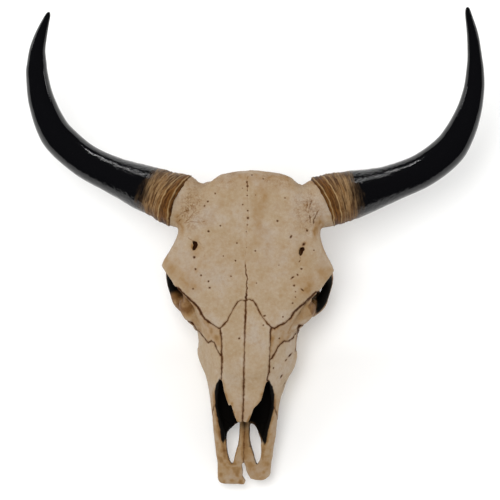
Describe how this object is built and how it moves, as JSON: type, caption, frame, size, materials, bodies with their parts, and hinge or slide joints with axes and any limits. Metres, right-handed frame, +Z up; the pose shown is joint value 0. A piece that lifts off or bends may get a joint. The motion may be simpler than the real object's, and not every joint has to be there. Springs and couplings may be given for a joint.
{
  "type": "cow skull",
  "caption": "Weathered skull of a horned cow without its lower jaw: flat forehead, long nasal bones, open nose and eye sockets, and wide upswept black horns.",
  "frame": {"origin": "middle of the bounding box, at the level of the table the skull lies on", "axes": "+Z up, off the forehead; -Y towards the muzzle and +Y towards the poll and the horn tips; +X towards the animal's left"},
  "size_m": [0.699, 0.7142, 0.2301],
  "materials": {
    "bone": "dry bone, beige with tan mottling and dark brown stain in the sutures and hollows",
    "horn": "glossy black keratin, with a ringed band of brown and cream at the base",
    "tooth": "worn enamel, cream and yellow, with brown tartar in the grooves; the teeth are one solid with the upper jawbones"
  },
  "bodies": {
    "root": {"frontal": "bone", "braincase": "bone", "nasal_left": "bone", "nasal_right": "bone", "lacrimal_left": "bone", "lacrimal_right": "bone", "zygomatic_left": "bone", "zygomatic_right": "bone", "maxilla_left": "bone", "maxilla_right": "bone", "premaxilla_left": "bone", "premaxilla_right": "bone", "horn_left": "horn", "horn_right": "horn"}
  },
  "joints": []
}
